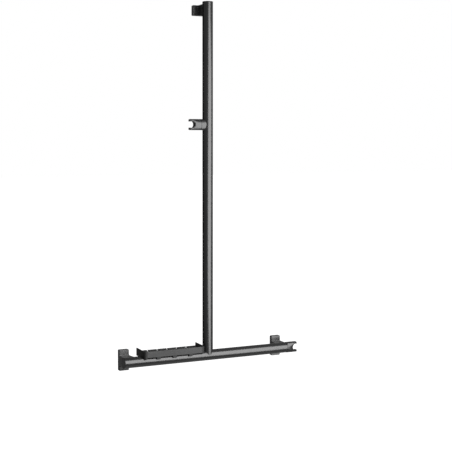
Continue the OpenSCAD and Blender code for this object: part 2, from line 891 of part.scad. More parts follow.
horizontal_rail();
vertical_rail();
left_end_plug();
right_end_plug();
top_cap();
tee_saddle();
tee_nut();
tee_screw();
tee_grub_screw();
bracket_left();
bracket_right();
bracket_top();
wall_plate_left();
wall_plate_right();
wall_plate_top();
neck_screws();
foot_screws();
slider_base();
slider_glide_pad();
slider_t_nut();
slider_axle_screw();
slider_disc_springs();
slider_friction_ring();
slider_socket();
end_axle_screw();
end_disc_springs();
end_friction_ring();
end_socket();
shelf_tray();
shelf_side_left();
shelf_side_right();
shelf_hook_left();
shelf_hook_middle();
shelf_hook_right();
shelf_screws();
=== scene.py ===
import logging
import math
from collections.abc import Callable, Sequence
from dataclasses import dataclass, field
from enum import Enum

import bmesh
import bpy
from mathutils import Matrix, Vector


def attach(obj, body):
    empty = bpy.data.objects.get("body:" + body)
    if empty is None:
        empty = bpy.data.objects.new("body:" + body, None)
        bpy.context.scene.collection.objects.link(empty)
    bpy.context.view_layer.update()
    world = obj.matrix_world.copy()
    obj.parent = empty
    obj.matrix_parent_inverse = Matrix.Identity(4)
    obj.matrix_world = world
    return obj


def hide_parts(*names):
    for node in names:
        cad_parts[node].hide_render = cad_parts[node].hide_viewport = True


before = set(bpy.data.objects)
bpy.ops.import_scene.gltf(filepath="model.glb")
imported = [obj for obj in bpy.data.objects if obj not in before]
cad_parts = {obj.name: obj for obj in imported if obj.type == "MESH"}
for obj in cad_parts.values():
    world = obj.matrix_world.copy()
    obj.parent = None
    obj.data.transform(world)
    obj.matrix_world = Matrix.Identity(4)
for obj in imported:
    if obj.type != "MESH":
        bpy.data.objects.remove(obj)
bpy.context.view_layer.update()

MM = 0.001
LOG = logging.getLogger("grab_bar")

Point2 = tuple[float, float]
Point3 = tuple[float, float, float]
Ring = list[Point3]


class Slot(Enum):
    """The record's material slots."""

    METAL = "satin_black_metal"
    PLASTIC = "matt_black_plastic"
    STEEL = "steel"
    ZINC = "zinc"
    SLIP = "slip_plastic"


class Body(Enum):
    """The bodies that pieces ride on."""

    BAR = "bar"
    SLIDER = "slider"
    SLIDER_SOCKET = "slider_socket_body"
    END_SOCKET = "end_socket_body"


class Side(Enum):
    """The three places where a bracket stands."""

    LEFT = "left"
    RIGHT = "right"
    TOP = "top"


# Plane outlines, in millimetres


def arc(cx: float, cy: float, radius: float, start: float, end: float, steps: int) -> list[Point2]:
    """Points along an arc.

    Args:
        cx: The centre's first coordinate.
        cy: The centre's second coordinate.
        radius: The arc's radius.
        start: The first angle, in degrees.
        end: The last angle, in degrees.
        steps: How many steps the arc is made of.

    Returns:
        The points, both ends among them.
    """
    turn = [math.radians(start + (end - start) * i / steps) for i in range(steps + 1)]
    return [(cx + radius * math.cos(t), cy + radius * math.sin(t)) for t in turn]


def rounded_corners(corners: Sequence[tuple[float, float, float]], steps: int = 5) -> list[Point2]:
    """A closed outline whose corners are rounded.

    Args:
        corners: First coordinate, second coordinate and radius of each corner. A radius of 0 keeps it sharp.
        steps: How many steps each rounding is made of.

    Returns:
        The outline's points.
    """
    out: list[Point2] = []
    count = len(corners)
    for i, (x, y, radius) in enumerate(corners):
        here = Vector((x, y))
        if radius <= 0:
            out.append((x, y))
            continue
        before = (Vector(corners[i - 1][:2]) - here).normalized()
        after = (Vector(corners[(i + 1) % count][:2]) - here).normalized()
        half = before.angle(after) / 2
        reach = radius / math.tan(half)
        centre = here + (before + after).normalized() * (radius / math.sin(half))
        a, b = here + before * reach - centre, here + after * reach - centre
        sweep = math.atan2(a.x * b.y - a.y * b.x, a.dot(b))
        start = math.atan2(a.y, a.x)
        for k in range(steps + 1):
            t = start + sweep * k / steps
            out.append((centre.x + radius * math.cos(t), centre.y + radius * math.sin(t)))
    return out


def rounded_box(x0: float, x1: float, y0: float, y1: float, radius: float, steps: int = 6) -> list[Point2]:
    """A rectangle between two corners, with round corners."""
    return rounded_corners([(x0, y0, radius), (x1, y0, radius), (x1, y1, radius), (x0, y1, radius)], steps)


class Shop:
    """The ways in which meshes are made."""

    @staticmethod
    def from_mesh(name: str, mesh: bpy.types.Mesh) -> bpy.types.Object:
        """Links a mesh to the scene as an object."""
        made = bpy.data.objects.new(name, mesh)
        bpy.context.scene.collection.objects.link(made)
        return made

    @staticmethod
    def from_bmesh(name: str, bm: bmesh.types.BMesh) -> bpy.types.Object:
        """Turns a bmesh into an object, welded and with its faces turned outwards."""
        bmesh.ops.remove_doubles(bm, verts=bm.verts, dist=1e-6)
        bmesh.ops.recalc_face_normals(bm, faces=bm.faces)
        mesh = bpy.data.meshes.new(name)
        bm.to_mesh(mesh)
        bm.free()
        return Shop.from_mesh(name, mesh)

    @staticmethod
    def loft(name: str, rings: Sequence[Ring], closed: bool = False) -> bpy.types.Object:
        """Joins rings of equal length into a skin.

        Args:
            name: The object's name.
            rings: The rings, in millimetres.
            closed: True where the last ring joins the first. Otherwise both ends are capped.

        Returns:
            The object, in metres.
        """
        bm = bmesh.new()
        grid = [[bm.verts.new([c * MM for c in p]) for p in ring] for ring in rings]
        count = len(rings[0])
        pairs = list(zip(grid, grid[1:] + grid[:1] if closed else grid[1:]))
        for a, b in pairs:
            for i in range(count):
                j = (i + 1) % count
                bm.faces.new((a[i], a[j], b[j], b[i]))
        if not closed:
            bm.faces.new(grid[0])
            bm.faces.new(grid[-1])
        return Shop.from_bmesh(name, bm)

    @staticmethod
    def lathe(name: str, profile: Sequence[Point2], place: Callable[[float, float, float], Point3],
              closed: bool, segments: int = 144) -> bpy.types.Object:
        """Turns a profile about an axis.

        Args:
            name: The object's name.
            profile: Radius and distance along the axis of each point, in millimetres.
            place: Gives a point from the distance along the axis and the two coordinates across it.
            closed: True for a ring-shaped part, False for one that is capped at both ends.
            segments: How many segments a turn has.

        Returns:
            The object.
        """
        rings = []
        for radius, along in profile:
            turn = [2 * math.pi * i / segments for i in range(segments)]
            rings.append([place(along, radius * math.cos(t), radius * math.sin(t)) for t in turn])
        return Shop.loft(name, rings, closed)

    @staticmethod
    def extrude(name: str, loops: Sequence[Sequence[Point2]], start: float, end: float, rim: float,
                place: Callable[[float, float, float], Point3]) -> bpy.types.Object:
        """Draws a flat outline out into a bar with rounded rims.

        Args:
            name: The object's name.
            loops: The outer outline, then those of holes.
            start: Where the bar starts along its own axis.
            end: Where it ends.
            rim: The rims' rounding.
            place: Gives a point from the outline's two coordinates and the distance along the bar.

        Returns:
            The object.
        """
        curve = bpy.data.curves.new(name, "CURVE")
        curve.dimensions = "2D"
        curve.fill_mode = "BOTH"
        for loop in loops:
            spline = curve.splines.new("POLY")
            spline.points.add(len(loop) - 1)
            for point, (x, y) in zip(spline.points, loop):
                point.co = (x, y, 0, 1)
            spline.use_cyclic_u = True
        curve.extrude = (end - start) / 2 - rim
        curve.bevel_depth = rim
        curve.offset = -rim
        curve.bevel_resolution = 2
        drawn = Shop.from_mesh(name + "_outline", curve)
        bpy.context.view_layer.update()
        graph = bpy.context.evaluated_depsgraph_get()
        mesh = bpy.data.meshes.new_from_object(drawn.evaluated_get(graph))
        bpy.data.objects.remove(drawn)
        bpy.data.curves.remove(curve)
        middle = (start + end) / 2
        bm = bmesh.new()
        bm.from_mesh(mesh)
        bpy.data.meshes.remove(mesh)
        for v in bm.verts:
            v.co = Vector(place(v.co.x, v.co.y, v.co.z + middle)) * MM
        return Shop.from_bmesh(name, bm)

    @staticmethod
    def settle(piece: bpy.types.Object) -> bpy.types.Object:
        """Applies a piece's modifiers to its mesh."""
        bpy.context.view_layer.update()
        graph = bpy.context.evaluated_depsgraph_get()
        old = piece.data
        piece.data = bpy.data.meshes.new_from_object(piece.evaluated_get(graph))
        piece.modifiers.clear()
        bpy.data.meshes.remove(old)
        piece.data.name = piece.name
        return piece

    @staticmethod
    def combine(piece: bpy.types.Object, others: Sequence[bpy.types.Object], how: str) -> bpy.types.Object:
        """Joins or cuts a piece with others, which are used up.

        Args:
            piece: The piece to change.
            others: The pieces to join to it or to cut out of it.
            how: UNION or DIFFERENCE.

        Returns:
            The changed piece.
        """
        for other in others:
            step = piece.modifiers.new("step", "BOOLEAN")
            step.operation = how
            step.solver = "EXACT"
            step.object = other
        Shop.settle(piece)
        for other in others:
            bpy.data.objects.remove(other)
        return piece

    @staticmethod
    def shade(piece: bpy.types.Object, sharp: float = 32.0) -> bpy.types.Object:
        """Shades a piece smooth, with sharp edges above an angle in degrees."""
        piece.data.shade_smooth()
        piece.data.set_sharp_from_angle(angle=math.radians(sharp))
        weigh = piece.modifiers.new("weigh", "WEIGHTED_NORMAL")
        weigh.keep_sharp = True
        weigh.weight = 60
        return Shop.settle(piece)


# Finishes


class Sheet:
    """A material's node sheet, with short ways to add to it."""

    def __init__(self, name: str) -> None:
        """Starts a material with an empty sheet and a main shader."""
        self.material = bpy.data.materials.new(name)
        self.material.use_nodes = True
        self.tree = self.material.node_tree
        self.tree.nodes.clear()
        self.shader = self.add("ShaderNodeBsdfPrincipled")
        out = self.add("ShaderNodeOutputMaterial")
        self.link(self.shader.outputs["BSDF"], out.inputs["Surface"])
        self.place = self.add("ShaderNodeTexCoord").outputs["Object"]

    def add(self, kind: str, **values: object) -> bpy.types.Node:
        """Adds a node.

        Args:
            kind: The node's type.
            values: Input values by name, with underscores for spaces.

        Returns:
            The node.
        """
        node = self.tree.nodes.new(kind)
        for key, value in values.items():
            node.inputs[key.replace("_", " ")].default_value = value
        return node

    def link(self, a: bpy.types.NodeSocket, b: bpy.types.NodeSocket) -> None:
        """Joins two sockets."""
        self.tree.links.new(a, b)

    def noise(self, scale: float, detail: float = 2.0, stretch: Point3 = (1, 1, 1)) -> bpy.types.NodeSocket:
        """Noise in the part's own frame, in features per metre, stretched where asked."""
        mapping = self.add("ShaderNodeMapping")
        mapping.inputs["Scale"].default_value = stretch
        self.link(self.place, mapping.inputs["Vector"])
        noise = self.add("ShaderNodeTexNoise", Scale=scale, Detail=detail)
        self.link(mapping.outputs["Vector"], noise.inputs["Vector"])
        return noise.outputs["Fac"]

    def blend(self, fac: bpy.types.NodeSocket, a: Point3, b: Point3, low: float = 0.3,
              high: float = 0.7) -> bpy.types.NodeSocket:
        """A colour that runs from a to b as fac goes from low to high."""
        ramp = self.add("ShaderNodeValToRGB")
        ramp.color_ramp.elements[0].position = low
        ramp.color_ramp.elements[0].color = (*a, 1)
        ramp.color_ramp.elements[1].position = high
        ramp.color_ramp.elements[1].color = (*b, 1)
        self.link(fac, ramp.inputs["Fac"])
        return ramp.outputs["Color"]

    def span(self, fac: bpy.types.NodeSocket, low: float, high: float) -> bpy.types.NodeSocket:
        """A number that runs from low to high as fac goes from 0.3 to 0.7."""
        ranged = self.add("ShaderNodeMapRange", From_Min=0.3, From_Max=0.7, To_Min=low, To_Max=high)
        self.link(fac, ranged.inputs["Value"])
        return ranged.outputs["Result"]

    def bump(self, heights: Sequence[tuple[bpy.types.NodeSocket, float, float]]) -> None:
        """Stacks bumps on the shader's normal. Each has a height, a strength and a depth in metres."""
        last = None
        for height, strength, depth in heights:
            node = self.add("ShaderNodeBump", Strength=strength, Distance=depth)
            self.link(height, node.inputs["Height"])
            if last is not None:
                self.link(last, node.inputs["Normal"])
            last = node.outputs["Normal"]
        if last is not None:
            self.link(last, self.shader.inputs["Normal"])


def grey(level: float, warmth: float = 0.0) -> Point3:
    """A grey colour, a little warmer or cooler."""
    return (level * (1 + warmth), level, level * (1 - warmth))


@dataclass(frozen=True)
class PowderCoat:
    """Satin black powder coating: an even fine ripple with a soft gloss."""

    name: str = "powder_coat_satin_black"
    level: float = 0.0135
    roughness: float = 0.24
    specular: float = 0.85

    def make(self) -> bpy.types.Material:
        """Builds the material."""
        sheet = Sheet(self.name)
        sheet.shader.inputs["Specular IOR Level"].default_value = self.specular
        cloud = sheet.noise(28, 3)
        fleck = sheet.noise(2600, 1)
        base = sheet.blend(cloud, grey(self.level * 0.9, -0.02), grey(self.level * 1.1, -0.02))
        mix = sheet.add("ShaderNodeMix")
        mix.data_type = "RGBA"
        mix.blend_type = "MULTIPLY"
        mix.inputs["Factor"].default_value = 0.35
        sheet.link(base, mix.inputs[6])
        sheet.link(sheet.blend(fleck, grey(0.75), grey(1.0)), mix.inputs[7])
        sheet.link(mix.outputs[2], sheet.shader.inputs["Base Color"])
        sheet.link(sheet.span(sheet.noise(60, 2), self.roughness - 0.02, self.roughness + 0.03),
                   sheet.shader.inputs["Roughness"])
        sheet.bump([(sheet.noise(420, 2), 0.10, 0.00006), (sheet.noise(1500, 1), 0.08, 0.00002)])
        return sheet.material


@dataclass(frozen=True)
class MouldedPlastic:
    """Black moulded plastic with a fine spark-eroded grain."""

    name: str
    level: float
    roughness: float
    specular: float = 0.5
    grain: float = 0.16

    def make(self) -> bpy.types.Material:
        """Builds the material."""
        sheet = Sheet(self.name)
        sheet.shader.inputs["Specular IOR Level"].default_value = self.specular
        cloud = sheet.noise(22, 3)
        sheet.link(sheet.blend(cloud, grey(self.level * 0.9), grey(self.level * 1.12, -0.02)),
                   sheet.shader.inputs["Base Color"])
        grain = sheet.add("ShaderNodeTexVoronoi", Scale=1900.0)
        sheet.link(sheet.place, grain.inputs["Vector"])
        sheet.link(sheet.span(sheet.noise(90, 2), self.roughness - 0.04, self.roughness + 0.05),
                   sheet.shader.inputs["Roughness"])
        sheet.bump([(sheet.noise(160, 2), 0.05, 0.00008), (grain.outputs["Distance"], self.grain, 0.00004)])
        return sheet.material


@dataclass(frozen=True)
class TurnedSteel:
    """Stainless steel with fine marks from the tool round it."""

    name: str
    level: float
    roughness: float
    thread_axis: Point3 = (0, 0, 0)

    def make(self) -> bpy.types.Material:
        """Builds the material, with a thread along thread_axis where it isn't zero."""
        sheet = Sheet(self.name)
        sheet.shader.inputs["Metallic"].default_value = 1.0
        marks = sheet.noise(700, 3, (1.0, 0.15, 1.0))
        sheet.link(sheet.blend(marks, grey(self.level * 0.85), grey(self.level * 1.1, 0.01)),
                   sheet.shader.inputs["Base Color"])
        sheet.link(sheet.span(marks, self.roughness - 0.06, self.roughness + 0.08),
                   sheet.shader.inputs["Roughness"])
        heights = [(marks, 0.08, 0.00003)]
        if any(self.thread_axis):
            wave = sheet.add("ShaderNodeTexWave", Scale=1.0)
            wave.wave_type = "BANDS"
            mapping = sheet.add("ShaderNodeMapping")
            mapping.inputs["Scale"].default_value = [a * 50.0 for a in self.thread_axis]
            sheet.link(sheet.place, mapping.inputs["Vector"])
            sheet.link(mapping.outputs["Vector"], wave.inputs["Vector"])
            wave.bands_direction = "DIAGONAL"
            heights.append((wave.outputs["Fac"], 0.5, 0.0003))
        sheet.bump(heights)
        return sheet.material


@dataclass(frozen=True)
class PlatedZinc:
    """Zinc plating with a cloudy, slightly blue spangle."""

    name: str = "zinc_plating"

    def make(self) -> bpy.types.Material:
        """Builds the material."""
        sheet = Sheet(self.name)
        sheet.shader.inputs["Metallic"].default_value = 1.0
        spangle = sheet.add("ShaderNodeTexVoronoi", Scale=240.0)
        sheet.link(sheet.place, spangle.inputs["Vector"])
        sheet.link(sheet.blend(spangle.outputs["Distance"], (0.44, 0.46, 0.49), (0.58, 0.59, 0.60), 0.1, 0.8),
                   sheet.shader.inputs["Base Color"])
        sheet.link(sheet.span(sheet.noise(320, 3), 0.34, 0.5), sheet.shader.inputs["Roughness"])
        sheet.bump([(spangle.outputs["Distance"], 0.08, 0.00005)])
        return sheet.material


@dataclass(frozen=True)
class Acetal:
    """Natural acetal, waxy and slightly translucent."""

    name: str = "acetal_natural"

    def make(self) -> bpy.types.Material:
        """Builds the material."""
        sheet = Sheet(self.name)
        sheet.shader.inputs["Subsurface Weight"].default_value = 0.08
        sheet.shader.inputs["Subsurface Scale"].default_value = 0.002
        cloud = sheet.noise(120, 3)
        sheet.link(sheet.blend(cloud, (0.70, 0.69, 0.65), (0.78, 0.77, 0.73)), sheet.shader.inputs["Base Color"])
        sheet.link(sheet.span(cloud, 0.36, 0.48), sheet.shader.inputs["Roughness"])
        sheet.bump([(sheet.noise(800, 2), 0.1, 0.00003)])
        return sheet.material


@dataclass
class Finishes:
    """Every finish of the part, made once."""

    coat: bpy.types.Material = field(default_factory=lambda: PowderCoat().make())
    socket: bpy.types.Material = field(
        default_factory=lambda: MouldedPlastic("socket_plastic", 0.013, 0.27, 0.8, 0.08).make())
    cap: bpy.types.Material = field(
        default_factory=lambda: MouldedPlastic("cap_plastic", 0.012, 0.36, 0.6, 0.1).make())
    shelf: bpy.types.Material = field(
        default_factory=lambda: MouldedPlastic("shelf_plastic", 0.03, 0.48, 0.45).make())
    # A darker copy of the shelf plastic for the side pieces and hooks: painted shade for faces turned from the light
    # and under the shelf.
    side: bpy.types.Material = field(
        default_factory=lambda: MouldedPlastic("shelf_plastic_painted_shade", 0.016, 0.5, 0.4).make())
    steel: bpy.types.Material = field(default_factory=lambda: TurnedSteel("turned_steel", 0.55, 0.3).make())
    thread_x: bpy.types.Material = field(
        default_factory=lambda: TurnedSteel("threaded_steel_x", 0.5, 0.32, (1, 0, 0)).make())
    thread_y: bpy.types.Material = field(
        default_factory=lambda: TurnedSteel("threaded_steel_y", 0.5, 0.32, (0, 1, 0)).make())
    thread_z: bpy.types.Material = field(
        default_factory=lambda: TurnedSteel("threaded_steel_z", 0.5, 0.32, (0, 0, 1)).make())
    zinc: bpy.types.Material = field(default_factory=lambda: PlatedZinc().make())
    slip: bpy.types.Material = field(default_factory=lambda: Acetal().make())


def dress(piece: bpy.types.Object, material: bpy.types.Material) -> None:
    """Gives a piece one material all over."""
    piece.data.materials.clear()
    piece.data.materials.append(material)


def hand_over(piece: bpy.types.Object, material: bpy.types.Material, slot: Slot, body: Body,
              *nodes: str) -> bpy.types.Object:
    """Finishes a piece: dresses it, ties it to its body and hides the nodes that it stands for.

    Args:
        piece: The finished mesh.
        material: Its material.
        slot: Not used.
        body: The body that it moves with.
        nodes: The nodes that it stands for.

    Returns:
        The piece.
    """
    dress(piece, material)
    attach(piece, body.value)
    if nodes:
        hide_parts(*nodes)
    LOG.info("%s: %d faces, for %s", piece.name, len(piece.data.polygons), ", ".join(nodes) or "nothing")
    return piece


def dress_node(name: str, material: bpy.types.Material) -> None:
    """Gives a carried-over node its material, in the slots that it has."""
    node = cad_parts[name]
    if not node.data.materials:
        node.data.materials.append(material)
    for i in range(len(node.data.materials)):
        node.data.materials[i] = material
    LOG.info("%s: carried over with %s", name, material.name)


# Sub-assemblies


@dataclass
class Rails:
    """The two rails, their caps and the saddle between them."""

    finishes: Finishes
    radius: float = 16.0
    bore: float = 13.5
    standoff: float = 50.0
    half: float = 271.75
    flange: float = 1.5
    upright_foot: float = 22.5
    upright_top: float = 1072.0
    mouth: float = 4.0
    channel_half: float = 6.5
    channel_out: float = 12.8
    channel_in: float = 7.8
    web: float = 6.3
    plug: float = 30.0
    pivot: float = 8.0
    pivot_len: float = 4.0
    ring_in: float = 8.4
    ring_out: float = 11.6
    ring_sink: float = 0.6

    def along_x(self, along: float, a: float, b: float) -> Point3:
        """A point about the horizontal rail's axis."""
        return (along, a - self.standoff, b)

    def along_z(self, along: float, a: float, b: float) -> Point3:
        """A point about the upright's axis."""
        return (a, b - self.standoff, along)

    def lower(self) -> bpy.types.Object:
        """The horizontal rail: a tube with softened ends."""
        soft = 0.35
        profile = [(self.bore, -self.half), (self.bore, self.half)]
        profile += [(r, x) for x, r in arc(self.half - soft, self.radius - soft, soft, 0, 90, 3)]
        profile += [(self.radius, self.half - 1.2), (self.radius, 1.2 - self.half)]
        profile += [(r, x) for x, r in arc(soft - self.half, self.radius - soft, soft, 90, 180, 3)]
        return Shop.lathe("lower_rail", profile, self.along_x, True, 160)

    def upright(self) -> bpy.types.Object:
        """The upright: a drawn section with a track in its left side."""
        edge = math.degrees(math.asin(self.mouth / self.radius))
        skin = arc(0, 0, self.radius, edge - 180, 180 - edge, 168)
        corners = [(x, y, 0.0) for x, y in skin]
        corners[0] = (*skin[0], 0.45)
        corners[-1] = (*skin[-1], 0.45)
        inner = [(-self.channel_out, self.mouth, 0.3), (-self.channel_out, self.channel_half, 0.3),
                 (-self.channel_in, self.channel_half, 0.5), (-self.channel_in, -self.channel_half, 0.5),
                 (-self.channel_out, -self.channel_half, 0.3), (-self.channel_out, -self.mouth, 0.3)]
        outline = rounded_corners(corners + inner, 4)
        wall = self.channel_half + 1.5
        side = math.degrees(math.asin(wall / self.bore))
        hollow = arc(0, 0, self.bore, side - 180, 180 - side, 96)
        hollow += [(-self.web, wall), (-self.web, -wall)]
        return Shop.extrude("upright_rail", [outline, hollow], self.upright_foot, self.upright_top, 0.2,
                            lambda x, y, z: self.along_z(z, x, y))

    def end_cap(self, name: str, side: int, pivot: bool) -> bpy.types.Object:
        """A rail's end plug with its flange.

        Args:
            name: The piece's name.
            side: -1 at the left end, 1 at the right end.
            pivot: True where the plug carries a holder's pivot.

        Returns:
            The piece.
        """
        face, seam = self.half + self.flange, self.half
        body = self.bore - 0.1
        soft, fine = 0.5, 0.15
        profile = [(0.0, face - self.plug), (body - 0.6, face - self.plug), (body, face - self.plug + 0.6),
                   (body, seam), (self.radius - fine, seam), (self.radius, seam + fine)]
        profile += [(r, x) for x, r in reversed(arc(face - soft, self.radius - soft, soft, 0, 90, 4))]
        if pivot:
            profile += [(self.ring_out, face), (self.ring_out, face - self.ring_sink),
                        (self.ring_in, face - self.ring_sink), (self.pivot, face - self.ring_sink),
                        (self.pivot, face + self.pivot_len - 0.4), (self.pivot - 0.4, face + self.pivot_len)]
            profile += [(3.2, face + self.pivot_len), (3.05, face + self.pivot_len - 0.2), (3.05, face - 2)]
            profile += [(0.0, face - 2)]
        else:
            profile += [(0.0, face)]
        return Shop.lathe(name, [(max(r, 0.001), side * x) for r, x in profile], self.along_x, False, 120)

    def saddle(self) -> bpy.types.Object:
        """The stub between the rails, with its foot coped over the horizontal rail."""
        fit, edge, count = self.radius + 0.02, 3.0, 160
        turns = [2 * math.pi * i / count for i in range(count)]
        around = [(self.radius * math.cos(t), self.radius * math.sin(t)) for t in turns]
        feet = [max(edge, math.sqrt(max(fit * fit - y * y, 0.0))) for _, y in around]
        top = self.upright_foot
        rings: list[Ring] = []
        for share in (0.0, 0.04, 0.35, 0.7, 0.94):
            rings.append([self.along_z(foot + (top - 0.3 - foot) * share, x, y)
                          for (x, y), foot in zip(around, feet)])
        for radius, up in reversed(arc(self.radius - 0.3, top - 0.3, 0.3, 0, 90, 3)[::-1]):
            rings.append([self.along_z(up, x * radius / self.radius, y * radius / self.radius)
                          for x, y in around])
        return Shop.loft("crossing_saddle", rings)

    def build(self) -> None:
        """Builds and dresses the rails' pieces."""
        f = self.finishes
        hand_over(Shop.shade(self.lower()), f.coat, Slot.METAL, Body.BAR, "horizontal_rail")
        hand_over(Shop.shade(self.upright()), f.coat, Slot.METAL, Body.BAR, "vertical_rail")
        hand_over(Shop.shade(self.saddle()), f.coat, Slot.METAL, Body.BAR, "tee_saddle")
        hand_over(Shop.shade(self.end_cap("left_end_cap", -1, False)), f.cap, Slot.PLASTIC, Body.BAR,
                  "left_end_plug")
        hand_over(Shop.shade(self.end_cap("right_end_cap", 1, True)), f.cap, Slot.PLASTIC, Body.BAR,
                  "right_end_plug")
        dress_node("top_cap", f.cap)
        dress_node("tee_nut", f.steel)
        dress_node("tee_screw", f.thread_z)
        dress_node("tee_grub_screw", f.thread_y)


@dataclass
class Bracket:
    """One wall bracket: a foot with a neck that is coped to the rail."""

    finishes: Finishes
    side: Side
    half_span: float = 257.5
    top: float = 1052.0
    half_w: float = 15.75
    half_l: float = 31.5
    depth: float = 12.0
    corner: float = 3.0
    edge: float = 1.5
    pocket: float = 8.0
    side_wall: float = 2.5
    end_wall: float = 4.0
    neck_half: float = 15.0
    neck_edge: float = 1.2
    flare: float = 101.0
    rail: float = 16.02
    standoff: float = 50.0
    clamp_depth: float = 3.0
    clamp_hole: float = 2.55

    def place(self, x: float, y: float, z: float) -> Point3:
        """A point of the bracket's own frame, in the part's frame."""
        if self.side is Side.LEFT:
            return (x - self.half_span, y, z)
        if self.side is Side.RIGHT:
            return (self.half_span - x, y, z)
        return (-z, y, self.top - x)

    def ring(self, x0: float, x1: float, half: float, radius: float, depth: float) -> Ring:
        """A round-cornered ring across the bracket."""
        return [self.place(x, -depth, z) for x, z in rounded_box(x0, x1, -half, half, radius)]

    def foot(self) -> bpy.types.Object:
        """The foot, hollow from behind."""
        rim = 0.25
        inner_w, inner_l = self.half_w - self.side_wall, self.half_l - self.end_wall
        rings = [self.ring(-inner_w, inner_w, inner_l, 1.0, self.pocket),
                 self.ring(-inner_w, inner_w, inner_l, 1.0, rim),
                 self.ring(-inner_w - rim, inner_w + rim, inner_l + rim, 1.0 + rim, 0.0),
                 self.ring(rim - self.half_w, self.half_w - rim, self.half_l - rim, self.corner - rim, 0.0),
                 self.ring(-self.half_w, self.half_w, self.half_l, self.corner, rim)]
        for inset, depth in arc(0, self.depth - self.edge, self.edge, 0, 90, 5):
            cut = self.edge - inset
            rings.append(self.ring(cut - self.half_w, self.half_w - cut, self.half_l - cut,
                                   self.corner - cut, depth))
        return Shop.loft(f"{self.side.value}_bracket", rings)

    def neck_ring(self, depth: float, spread: float) -> Ring:
        """A ring round the neck at a distance from the wall."""
        run = max(depth - self.depth, 0.0)
        wide = self.half_w + self.flare - math.sqrt(self.flare**2 - run**2)
        return self.ring(-self.half_w + 0.01, wide, self.neck_half + spread, self.neck_edge, depth)

    def neck(self) -> bpy.types.Object:
        """The neck, flared on its inner side, with a fillet on the foot and a cope for the rail."""
        fillet = 1.5
        rings = [self.neck_ring(self.depth - self.edge - 0.5, fillet)]
        for away, along in arc(fillet, fillet, fillet, 180, 270, 5)[::-1]:
            rings.append(self.neck_ring(self.depth + fillet - away, fillet - along))
        rings = rings[:1] + sorted(rings[1:], key=lambda r: -r[0][1])
        reach = self.standoff - math.sqrt(self.rail**2 - (self.neck_half) ** 2)
        for i in range(1, 7):
            rings.append(self.neck_ring(self.depth + fillet + (reach - 1.0 - self.depth - fillet) * i / 6, 0.0))
        run = reach - self.depth
        wide = self.half_w + self.flare - math.sqrt(self.flare**2 - run**2)
        last = []
        for x, z in rounded_box(-self.half_w + 0.01, wide, -self.neck_half, self.neck_half, self.neck_edge):
            last.append(self.place(x, -self.standoff + math.sqrt(self.rail**2 - z * z), z))
        rings.append(last)
        return Shop.loft("neck", rings)

    def build(self) -> None:
        """Builds and dresses the bracket."""
        piece = self.foot()
        neck = self.neck()
        Shop.combine(piece, [neck], "UNION")
        hole = [self.place(x, y - self.clamp_depth, z) for z in (-self.half_l - 1, -self.half_l + self.end_wall + 1)
                for x, y in arc(0, 0, self.clamp_hole, 0, 345, 23)]
        cutter = Shop.loft("clamp_hole", [hole[:24], hole[24:]])
        Shop.combine(piece, [cutter], "DIFFERENCE")
        name = f"bracket_{self.side.value}"
        hand_over(Shop.shade(piece), self.finishes.coat, Slot.METAL, Body.BAR, name)
        dress_node(f"wall_plate_{self.side.value}", self.finishes.zinc)


